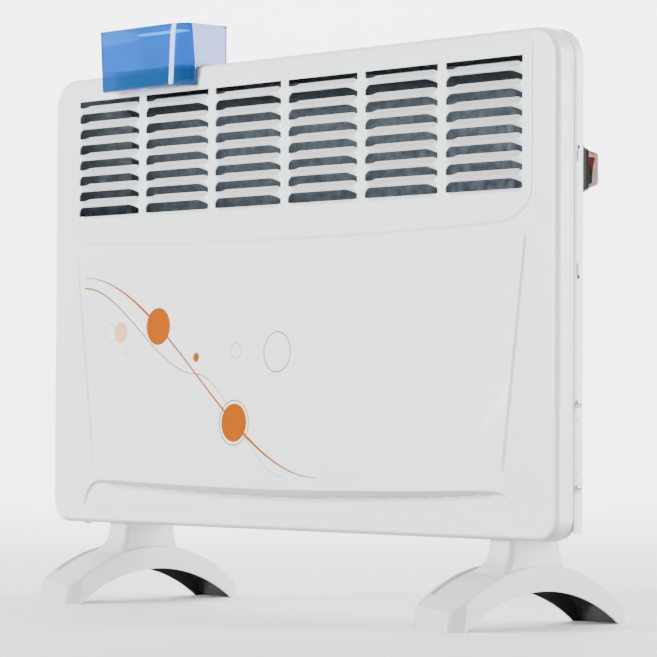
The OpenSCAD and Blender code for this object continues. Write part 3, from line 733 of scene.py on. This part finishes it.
def foot_shell(centre_x):
    """The arch as one open sheet: rings across it, from the front toe (stage 0) over the back
    (stage 1) to the rear toe (stage 2)."""
    top_y = TOE_FRONT + TOE_SLANT
    rear_y = TOE_REAR - TOE_SLANT
    ys = np.concatenate([np.linspace(TOE_FRONT, top_y, 6), np.linspace(top_y, rear_y, 76)[1:],
                         np.linspace(rear_y, TOE_REAR, 6)[1:]])
    n = len(ys)
    stage_of = np.concatenate([np.zeros(6), np.ones(75), np.full(5, 2)])
    zs = arch_z(ys, OUT_Y, OUT_TOP)
    low_f, low_r = arch_z(top_y, OUT_Y, OUT_TOP), arch_z(rear_y, OUT_Y, OUT_TOP)
    zs = np.where(stage_of == 0, FLOOR + (low_f - FLOOR) * (ys - TOE_FRONT) / TOE_SLANT, zs)
    zs = np.where(stage_of == 2, FLOOR + (low_r - FLOOR) * (TOE_REAR - ys) / TOE_SLANT, zs)
    half = math.sqrt(ARCH_R ** 2 - (ARCH_R - (IN_TOP - FLOOR)) ** 2)
    seg = np.concatenate([[0], np.cumsum(np.hypot(np.diff(ys), np.diff(zs)))])
    low_y = IN_Y - half + 2 * half * seg / seg[-1]
    low_z = np.maximum(arch_z(low_y, IN_Y, IN_TOP), FLOOR)
    ty, tz = np.gradient(ys), np.gradient(zs)
    size = np.hypot(ty, tz)
    ny, nz = -tz / size, ty / size
    edge = FOOT_EDGE
    across = lines((edge - FOOT_W, -12.0, 0.6), (-12.0, FOOT_W - edge, 2.4))
    rings = []
    for i in range(n):
        outer = np.array([ys[i], zs[i]])
        normal = np.array([ny[i], nz[i]])
        low = np.array([low_y[i], low_z[i]])
        seat = outer - normal * edge
        wall = [(low + (seat - low) * k / 6) for k in range(7)]
        turn = [(edge * (1 - math.cos(a)), *(seat + normal * edge * math.sin(a)))
                for a in (math.radians(18 * k) for k in range(1, 5))]
        ring = [(-FOOT_W, y, z) for y, z in wall] + [(d - FOOT_W, y, z) for d, y, z in turn]
        for x in across:
            sunk = foot_groove(x, ys[i]) if stage_of[i] == 1 else 0.0
            ring.append((x, *(outer + normal * sunk)))
        ring += [(FOOT_W - d, y, z) for d, y, z in reversed(turn)]
        ring += [(FOOT_W, y, z) for y, z in reversed(wall)]
        rings.append(ring)
    pts = np.array(rings)
    x, y, z = pts[..., 0], pts[..., 1], pts[..., 2]
    z = np.maximum(z, FLOOR)
    limit = toe_line(x) + TOE_SLANT * np.clip((z - FLOOR) / TOE_H, 0, 1)
    below = np.maximum(arch_z(y, OUT_Y, OUT_TOP) - z, 0.0)
    pushed = y < limit - 1e-6
    y = np.where(pushed, limit, y)
    on_top = (stage_of[:, None] == 1) & (below < edge + 0.5)
    z = np.where(pushed & on_top, arch_z(y, OUT_Y, OUT_TOP) - below, z)
    pts = np.stack([x + centre_x, y, z], -1)
    grid = np.arange(n * pts.shape[1]).reshape(n, -1)
    return pts.reshape(-1, 3), bands(grid, closed=False)


def foot_neck(centre_x):
    """The neck, flaring down onto the arch's back."""
    rows = []
    for k in range(13):
        t = k / 12
        left = -NECK_HALF - 8.0 * t ** 4 - 1.5 * t
        right = NECK_HALF + 2.6 * t ** 3
        front = NECK_Y[0] - 9.0 * t ** 4 - 1.0 * t
        back = NECK_Y[1] + 3.8 * t
        radius = 4.5 + 1.5 * t
        row = []
        for cx, cy, start in ((right - radius, front + radius, -90), (right - radius, back - radius, 0),
                              (left + radius, back - radius, 90), (left + radius, front + radius, 180)):
            for c in range(7):
                a = math.radians(start + 15 * c)
                x = min(centre_x + NECK_X + cx + radius * math.cos(a), centre_x + FOOT_W - 0.6)
                y = cy + radius * math.sin(a)
                row.append((x, y, float(arch_z(y, OUT_Y, OUT_TOP)) * t - NECK_SUNK))
        rows.append(row)
    points, rings = rows_of(rows)
    return points, bands(rings) + [tuple(rings[0])]


def build_foot(name, centre_x):
    points, faces = foot_shell(centre_x)
    obj = piece(name + "_shell", points, faces, "foot_plastic", 40, more=(foot_inside,))
    tidy_mesh(obj, 0.00004, 40)
    thicken(obj, 1.9, 40, inner=1, even=False)
    for vertex in obj.data.vertices:
        vertex.co.z = max(vertex.co.z, 0.0)
    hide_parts(name)
    neck = piece(name + "_neck", *foot_neck(centre_x), "foot_plastic", 40)
    tidy_mesh(neck, 0.00002, 40)
    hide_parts(name)


# ---- Water box

def build_water_box():
    (x0, y0, z0), (x1, y1, z1) = node_box("water_box")
    seat = HEIGHT + 0.35
    gap = -1.0                     # clears the raised field round the louvres

    def plan(back, z):
        """Outline at height z, seen from above. The outer front corner's facet widens downwards."""
        t = (z - z0) / (z1 - z0)
        left = x0 - 4.6 + 3.4 * (1 - t)
        deep = 8.0 + 5.5 * (1 - t)
        corners = [((left, y0), 2.4), ((x1 - 11.0, y0), 15.0), ((x1, y0 + deep), 3.4), ((x1, back), 2.4),
                   ((left, back), 2.4)]
        ring = []
        for i, (c, radius) in enumerate(corners):
            a, b = Vector(corners[i - 1][0]), Vector(corners[(i + 1) % len(corners)][0])
            c = Vector(c)
            first = c + (a - c).normalized() * min(radius, (a - c).length * 0.45)
            last = c + (b - c).normalized() * min(radius, (b - c).length * 0.45)
            for k in range(8):
                s = k / 7
                q = first * (1 - s) ** 2 + c * 2 * s * (1 - s) + last * s * s
                ring.append((q.x, q.y))
        return ring

    levels = [(gap, z0 + dz, inset) for inset, dz in ((3.0, 0.0), (1.4, 0.15), (0.5, 0.7), (0.1, 1.6))]
    levels += [(gap, z0 + (seat - z0) * k / 4 + 2.0 * (1 - k / 4), 0.0) for k in range(1, 5)]
    levels += [(gap + (y1 - gap) * k / 4, seat, 0.0) for k in range(1, 5)]
    levels += [(y1, seat + 1.0 + (z1 - seat - 1.0) * k / 5, 0.0) for k in range(6)]
    rows = []
    for back, z, inset in levels:
        ring = plan(back, z)
        mx = sum(p[0] for p in ring) / len(ring)
        my = sum(p[1] for p in ring) / len(ring)
        row = []
        for x, y in ring:
            k = 1 - inset / max(math.hypot(x - mx, y - my), 1e-6)
            row.append((mx + (x - mx) * k, my + (y - my) * k, z))
        rows.append(row)
    points, rings = rows_of(rows)
    faces = bands(rings) + [tuple(reversed(rings[0]))]
    box = piece("water_box_shell", points, faces, "water_box_blue", 45, body="water_box")
    tidy_mesh(box, 0.00001, 45)
    thicken(box, 1.9, 45, even=False)
    bevel = box.modifiers.new("edges", "BEVEL")
    bevel.width = 0.0004
    bevel.segments = 2
    bevel.limit_method = "ANGLE"
    bevel.angle_limit = math.radians(50)
    apply_all(box, 45)
    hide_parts("water_box")


# ---- Switch: flared bezel, soft clear boot, two-tone rocker

def switch_points(local):
    """Switch millimetres (along the hinge, outwards, up) to casing millimetres."""
    lo, hi = node_box("switch_bezel")
    mid = (lo + hi) / 2
    out = np.array([math.sqrt(0.5), math.sqrt(0.5), 0.0])
    along = np.array([math.sqrt(0.5), -math.sqrt(0.5), 0.0])
    origin = mid - out * 2.6
    local = np.asarray(local, float)
    return origin + local[:, :1] * along + local[:, 1:2] * out + local[:, 2:] * np.array([0, 0, 1.0])


def rounded_ring(half_x, half_z, radius, out):
    """A rounded rectangle across the switch, at a distance out of the wall."""
    ring = []
    for sx, sz, start in ((1, 1, 0), (-1, 1, 90), (-1, -1, 180), (1, -1, 270)):
        for c in range(7):
            a = math.radians(start + 15 * c)
            ring.append((sx * (half_x - radius) + radius * math.cos(a), out,
                         sz * (half_z - radius) + radius * math.sin(a)))
    return ring


def loft(name, sections, slot, sharp, cap=False):
    """Joins equal rings, given in switch millimetres."""
    points, rings = rows_of(sections)
    faces = bands(rings)
    if cap:
        faces.append(tuple(rings[-1]))
    obj = piece(name, switch_points(points), faces, slot, sharp)
    tidy_mesh(obj, 0.000005, sharp)
    return obj


ROCKER_HALF = 7.6                  # half the rocker's width along its hinge


def build_switch():
    outer = []
    for t in np.linspace(0, 1, 8):
        flare = (1 - t) ** 2.0
        outer.append(rounded_ring(12.9 + 2.6 * flare, 15.15 + 2.85 * flare, 2.2 + 0.8 * flare,
                                  0.5 + 3.9 * t))
    sections = [rounded_ring(15.5, 18.0, 3.0, -1.1)] + outer
    sections += [rounded_ring(12.6, 14.9, 2.0, 4.75), rounded_ring(11.9, 14.2, 1.7, 4.9),
                 rounded_ring(11.4, 13.7, 1.5, 4.6), rounded_ring(11.3, 13.6, 1.5, 0.2)]
    bezel = loft("switch_bezel_frame", sections, "black_plastic", 35)
    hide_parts("switch_bezel")

    sections = [rounded_ring(11.2, 13.4, 1.6, 3.4), rounded_ring(11.6, 14.2, 1.8, 5.2)]
    sections += [rounded_ring(11.5 - 0.9 * t, 14.0 - 1.7 * t, 1.9, 5.6 + 4.9 * t) for t in (0.0, 0.5, 1.0)]
    sections += [rounded_ring(10.2, 11.9, 1.9, 11.3), rounded_ring(9.4, 11.1, 1.8, 11.85),
                 rounded_ring(7.6, 9.2, 1.5, 12.2)]
    boot = loft("switch_boot_skin", sections, "clear_boot", 60, cap=True)
    thicken(boot, 0.9, 60)
    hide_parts("switch_boot")

    tip, tilt = 9.6, math.radians(-7.0)
    profile = [(7.8, tip), (7.5, 8.0), (7.2, 5.0), (6.9, 2.0), (6.8, 0.0), (6.9, -2.0), (7.2, -5.0),
               (7.5, -8.0), (7.8, -tip), (7.3, -tip - 0.3), (1.0, -tip), (-3.0, -6.0), (-3.0, 6.0),
               (1.0, tip), (7.3, tip + 0.3)]
    half, edge = ROCKER_HALF, 0.35
    rows = []
    for x, shrink in ((-half, edge), (-half + edge, 0.0), (half - edge, 0.0), (half, edge)):
        row = []
        for out, up in profile:
            out, up = out * (1 - shrink / 9), up * (1 - shrink / 10)
            row.append((x, 1.0 + out * math.cos(tilt) - up * math.sin(tilt),
                        out * math.sin(tilt) + up * math.cos(tilt)))
        rows.append(row)
    points, rings = rows_of(rows)
    faces = bands(rings)
    for row, turn in ((rings[0], -1), (rings[-1], 1)):
        # the lens shows as a wedge on each side of the upper half
        wedge, rest = row[:5] + row[13:], row[4:14]
        faces += [tuple(wedge[::turn]), tuple(rest[::turn])]
    rocker = piece("switch_rocker_cap", switch_points(points), faces, "red_plastic", 30,
                   mats["black_plastic"], body="rocker", more=(mats["red_plastic"],))
    tidy_mesh(rocker, 0.000005, 30)
    lo, hi = node_box("switch_bezel")
    middle = (lo[2] + hi[2]) / 2 * MM + ORIGIN.z
    for poly in rocker.data.polygons:
        if poly.center.z > middle - 0.5 * MM:
            poly.material_index = 1
    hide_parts("switch_rocker")


# ---- Screws, side marks and the printed decoration

def head_points(at, out, radius, height):
    """A pan head with a cross recess. at is the middle of its seat, out its axis."""
    out = Vector(out).normalized()
    side = out.orthogonal().normalized()
    other = out.cross(side)
    segments, rows = 40, []
    levels = [(radius, -0.05), (radius, height * 0.35)]
    levels += [(radius * math.cos(a), height * (0.35 + 0.65 * math.sin(a)))
               for a in (math.radians(d) for d in (18, 36, 52, 64))]
    levels += [(radius * k, height) for k in (0.38, 0.32, 0.26, 0.20, 0.14, 0.08, 0.03)]
    for r, h in levels:
        row = []
        for s in range(segments):
            a = 2 * math.pi * s / segments
            u, v = r * math.cos(a), r * math.sin(a)
            arm = min(abs(u), abs(v)) < radius * 0.11 and r < radius * 0.56
            depth = height * 0.7 * min(1.0, (radius * 0.6 - r) / (radius * 0.3)) if arm else 0.0
            row.append(tuple(Vector(at) + side * u + other * v + out * (h - depth)))
        rows.append(row)
    points, rings = rows_of(rows)
    return points, bands(rings) + [tuple(rings[-1])]


def build_heads(name, heads, node):
    """heads: (seat, axis, radius, height) of each screw; one object stands for the CAD node."""
    parts = [head_points(*head) for head in heads]
    obj = piece(name, *merge_parts(parts), "bright_steel", 35)
    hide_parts(node)


def side_bump(s, x, y, z, half_u, half_v, height):
    """A low rounded boss on a side wall (s is -1 or 1): its half width, half height and depth."""
    at, out, up = Vector((s * x, y, z)), Vector((s, 0, 0)), Vector((0, 0, 1))
    side = up.cross(out)
    rows = []
    for t in (1.0, 0.94, 0.8, 0.6, 0.35):
        row = []
        for s in range(28):
            a = 2 * math.pi * s / 28
            su = math.copysign(abs(math.cos(a)) ** 0.8, math.cos(a))
            row.append(tuple(at + side * half_u * t * su + up * half_v * t * math.sin(a)
                             + out * height * math.sqrt(max(0.0, 1 - t * t))))
        rows.append(row)
    points, rings = rows_of(rows)
    return points, bands(rings) + [tuple(rings[-1])]


SIDE_Y = 22.3                      # the line of marks along the side wall
SIDE_SCREWS = (40.0, 104.0)
COVER_SCREW_X = 271.0


def build_side_marks():
    """Pressed bosses and dimples of the rear casing's side walls."""
    wall = node_box("rear_casing")[1][0]
    bosses, holes = [], []
    for s in (-1, 1):
        bosses += [side_bump(s, wall - 0.05, SIDE_Y, z, 1.7, 4.6, 0.9) for z in (292.0, 206.0)]
        bosses += [side_bump(s, wall - 0.05, SIDE_Y, z, 1.2, 1.2, 0.25) for z in (92.4, 52.4)]
        bosses.append(side_bump(s, HALF_W - 0.03, 13.5, 33.4, 0.8, 0.8, 0.2))
        # the latch holes are flat dark discs that paint the shade seen through an opening
        holes += [side_bump(s, wall + 0.02, SIDE_Y, z, 1.1, 1.5, 0.08) for z in (298.5, 200.0)]
    piece("side_bosses", *merge_parts(bosses), "casing_white", 60)
    piece("side_latch_holes", *merge_parts(holes), "black_plastic", 60, painted_hole_shade)


def curve_through(points, step=1.6):
    """A smooth path through the given (x, z) points."""
    p = [np.array(q, float) for q in points]
    p = [2 * p[0] - p[1]] + p + [2 * p[-1] - p[-2]]
    out = []
    for a, b, c, d in zip(p, p[1:], p[2:], p[3:]):
        n = max(2, int(np.linalg.norm(c - b) / step))
        for k in range(n):
            t = k / n
            out.append(0.5 * (2 * b + (c - a) * t + (2 * a - 5 * b + 4 * c - d) * t * t
                              + (3 * b - a - 3 * c + d) * t ** 3))
    out.append(p[-2])
    return np.array(out)


PRINT_UP = 0.16                    # how far the ink stands off the paint
PRINT_MERGE = 5e-7                 # metres, less than the steps at the ink's edges


def on_front(x, z, up):
    return np.stack([x, -front_relief(x, z) - up, z], -1)


def ribbon(name, path, widths, material, up=PRINT_UP):
    """A printed line over the pressed front. widths are (share of the length, width) pairs."""
    line = curve_through(path)
    along = np.gradient(line, axis=0)
    along /= np.linalg.norm(along, axis=1)[:, None]
    side = np.stack([-along[:, 1], along[:, 0]], -1)
    share = np.concatenate([[0], np.cumsum(np.linalg.norm(np.diff(line, axis=0), axis=1))])
    share /= share[-1]
    half = np.interp(share, [w[0] for w in widths], [w[1] / 2 for w in widths])
    columns = [line + side * (half * k)[:, None] for k in (-1.0, -0.5, 0.0, 0.5, 1.0)]
    lift = (0.0, up, up, up, 0.0)
    points, rings = rows_of([on_front(c[:, 0], c[:, 1], h) for c, h in zip(columns, lift)])
    obj = piece(name, points, bands(rings, closed=False), "casing_white", 60, material)
    tidy_mesh(obj, PRINT_MERGE, 60)


def ring_or_disc(name, cx, cz, r_in, r_out, material, up=PRINT_UP):
    """A printed ring, or a disc where r_in is 0, over the pressed front."""
    inner = np.linspace(r_out - 0.3, r_in + 0.15, max(2, int((r_out - r_in) / 2)))
    radii = [r_out, r_out - 0.15] + list(inner) + ([r_in] if r_in > 0 else [])
    turns = np.linspace(0, 2 * math.pi, 73)[:-1]
    rows = []
    for k, r in enumerate(radii):
        edge = k == 0 or (r_in > 0 and k == len(radii) - 1)
        rows.append(on_front(cx + r * np.cos(turns), cz + r * np.sin(turns), 0.0 if edge else up))
    points, rings = rows_of(rows)
    faces = bands(rings)
    if r_in <= 0:
        faces.append(tuple(rings[-1]))
    obj = piece(name, points, faces, "casing_white", 60, material)
    tidy_mesh(obj, PRINT_MERGE, 60)


def wave(start, end, n=25):
    """Points along a plain S-shaped line between two places on the front."""
    t = np.linspace(0.0, 1.0, n)
    return np.stack([start[0] + (end[0] - start[0]) * t,
                     start[1] + (end[1] - start[1]) * ramp(t, 0.0, 1.0)], -1)


def build_print():
    """A plain printed pattern in warm tones: S-shaped lines, with discs and rings spaced evenly
    along them."""
    start, end = np.array([-266.0, 214.0]), np.array([46.0, 44.0])
    sweep = wave(start, end)
    taper = [(0, 0.6), (0.25, 2.4), (0.5, 1.6), (0.75, 2.4), (1, 0.6)]
    ribbon("print_sweep", sweep, taper, print_orange)
    ribbon("print_line_upper", wave(start + (0, -9), sweep[12], 13), [(0, 1.6), (1, 0.8)],
           print_gold, PRINT_UP * 0.8)
    ribbon("print_line_lower", wave(sweep[12], end + (-40, 0), 13), [(0, 0.8), (1, 0.4)],
           print_gold, PRINT_UP * 0.8)
    ring_or_disc("print_disc_upper", *sweep[8], 0, 16.0, print_orange, PRINT_UP * 1.6)
    ring_or_disc("print_disc_lower", *sweep[16], 0, 16.0, print_orange, PRINT_UP * 1.6)
    ring_or_disc("print_disc_ring", *sweep[16], 18.2, 19.2, print_gold, PRINT_UP * 1.3)
    ring_or_disc("print_dot", *(sweep[12] + (0, 14)), 0, 4.0, print_orange)
    ring_or_disc("print_ring_centre", *(sweep[20] + (0, 90)), 16.0, 17.0, print_gold)
    ring_or_disc("print_ring_right", *(sweep[16] + (0, 60)), 6.0, 6.8, print_pale)
    ring_or_disc("print_disc_left", *(sweep[4] + (0, -36)), 0, 9.0, print_peach, PRINT_UP * 1.3)
    ring_or_disc("print_ring_left", *(sweep[4] + (-14, -36)), 7.6, 8.3, print_pale)
    ring_or_disc("print_ring_small", *(sweep[4] + (8, -52)), 3.2, 3.8, print_pale)


# ---- Camera, light and floor
YAW, PITCH_UP, ROLL = math.radians(47.954), math.radians(1.464), math.radians(0.268)
CAMERA_AT = Vector((2.0346, -1.8221, 0.1646))
LENS, SENSOR = 180.93, 36.0


def build_camera():
    forward = Vector((-math.sin(YAW) * math.cos(PITCH_UP), math.cos(YAW) * math.cos(PITCH_UP),
                      math.sin(PITCH_UP)))
    right = Vector((math.cos(YAW), math.sin(YAW), 0.0))
    up = right.cross(forward)
    turned = right * math.cos(ROLL) + up * math.sin(ROLL)
    up = up * math.cos(ROLL) - right * math.sin(ROLL)
    data = bpy.data.cameras.new("camera")
    data.lens = LENS
    data.sensor_width = SENSOR
    data.clip_end = 50.0
    cam = bpy.data.objects.new("camera", data)
    cam.matrix_world = Matrix((
        (turned.x, up.x, -forward.x, CAMERA_AT.x), (turned.y, up.y, -forward.y, CAMERA_AT.y),
        (turned.z, up.z, -forward.z, CAMERA_AT.z), (0, 0, 0, 1)))
    bpy.context.scene.collection.objects.link(cam)
    bpy.context.scene.camera = cam


def softbox(name, at, size, power, colour=(1, 1, 1), aim=(0, 0, 0.25)):
    data = bpy.data.lights.new(name, "AREA")
    data.shape = "RECTANGLE"
    data.size, data.size_y = size
    data.energy = power
    data.color = colour
    obj = bpy.data.objects.new(name, data)
    obj.location = at
    obj.rotation_euler = (Vector(aim) - Vector(at)).to_track_quat("-Z", "Y").to_euler()
    bpy.context.scene.collection.objects.link(obj)


def build_studio():
    world_data = bpy.data.worlds.new("studio")
    world_data.use_nodes = True
    ground = world_data.node_tree.nodes["Background"]
    ground.inputs["Color"].default_value = (1.0, 1.0, 1.0, 1.0)
    ground.inputs["Strength"].default_value = 0.42
    bpy.context.scene.world = world_data
    softbox("key_tall", (-1.6, -2.75, 1.25), (0.9, 2.3), 225, (0.97, 0.985, 1.0))
    softbox("side_right", (2.3, 1.7, 1.0), (1.2, 1.8), 150, (1.0, 0.99, 0.97))
    softbox("top_soft", (0.0, 0.3, 2.8), (2.6, 2.2), 38)
    softbox("backdrop_wash", (-1.8, 1.6, 3.0), (2.5, 1.5), 460, aim=(-3.7, 3.35, 1.0))
    mesh = bpy.data.meshes.new("floor")
    half, reach, turn = 7.0, 5.0, 2.0      # half width, how far back, radius of the turn upwards
    sweep = [(-half, 0.0), (reach - turn, 0.0)]
    sweep += [(reach - turn + turn * math.sin(a), turn - turn * math.cos(a))
              for a in (math.radians(6 * k) for k in range(1, 16))]
    sweep.append((reach, half))
    away = Vector((-math.sin(YAW), math.cos(YAW)))
    aside = Vector((math.cos(YAW), math.sin(YAW)))
    points = [(*(away * d + aside * s), z) for d, z in sweep for s in (-half, half)]
    mesh.from_pydata(points, [], [(2 * k, 2 * k + 1, 2 * k + 3, 2 * k + 2) for k in range(len(sweep) - 1)])
    for poly in mesh.polygons:
        poly.use_smooth = True
    mesh.materials.append(grained("studio_floor", (0.94, 0.94, 0.94), 0.6, grain=40, strength=0.0,
                                  drift=0.004, wobble=0.03))
    floor = bpy.data.objects.new("floor", mesh)
    bpy.context.scene.collection.objects.link(floor)


def dress_cad_nodes():
    """Gives every CAD node that stays its own finished material."""
    slots = {s["node"]: s["material_slot"] for s in frame["record"]["subparts"]}
    for name, obj in frame["nodes"].items():
        materials = obj.data.materials
        if not materials:
            materials.append(mats[slots[name]])
        for i in range(len(materials)):
            materials[i] = mats[slots[name]]


dress_cad_nodes()
build_front_cover()
build_rear_casing()
build_foot("foot_left", -FOOT_X)
build_foot("foot_right", FOOT_X)
build_water_box()
build_switch()
side_x = node_box("rear_casing")[1][0]
build_heads("side_screw_heads", [((s * side_x, SIDE_Y, z), (s, 0, 0), 3.1, 1.7)
                                 for s in (-1, 1) for z in SIDE_SCREWS], "side_screws")
build_heads("cover_screw_heads", [((s * COVER_SCREW_X, 9.0, 0.0), (0, 0, -1), 3.4, 2.2)
                                  for s in (-1, 1)], "cover_screws")
build_side_marks()
build_print()
build_camera()
build_studio()
